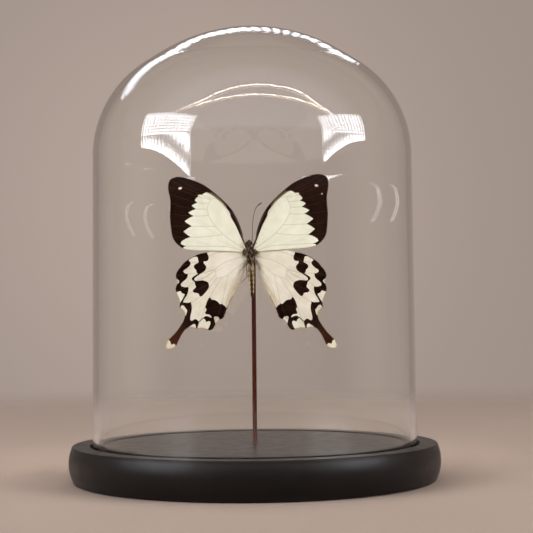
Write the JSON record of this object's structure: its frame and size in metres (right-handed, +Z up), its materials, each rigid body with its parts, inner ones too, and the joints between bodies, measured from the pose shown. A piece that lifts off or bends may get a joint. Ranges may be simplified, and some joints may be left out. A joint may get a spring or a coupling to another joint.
{
  "type": "insect in glass dome",
  "caption": "Set butterfly with spread tailed wings on a thin rod, under a round-topped clear glass dome that stands in the groove of a dark turned wooden base.",
  "frame": {"origin": "centre of the base's underside", "axes": "+Z up along the dome's axis; the butterfly's back faces -Y; +X to the right when looking at its back"},
  "size_m": [0.2, 0.2, 0.2458],
  "materials": {
    "base_wood": "stained black, satin lacquer",
    "dome_glass": "clear polished",
    "rod_lacquer": "red-brown lacquer, satin",
    "wing_scales": "dry scaled wing membrane, matte",
    "body_hair": "short dense hair",
    "abdomen_scales": "fine scales, matte",
    "dark_horn": "dry horn, slightly glossy"
  },
  "bodies": {
    "root": {"base": "base_wood", "glass_dome": "dome_glass", "rod": "rod_lacquer", "forewing_left": "wing_scales", "forewing_right": "wing_scales", "hindwing_left": "wing_scales", "hindwing_right": "wing_scales", "head": "body_hair", "thorax": "body_hair", "abdomen": "abdomen_scales", "antenna_right": "dark_horn", "leg_fore_left": "dark_horn", "leg_fore_right": "dark_horn", "leg_mid_left": "dark_horn", "leg_mid_right": "dark_horn", "leg_hind_left": "dark_horn", "leg_hind_right": "dark_horn"}
  },
  "joints": []
}
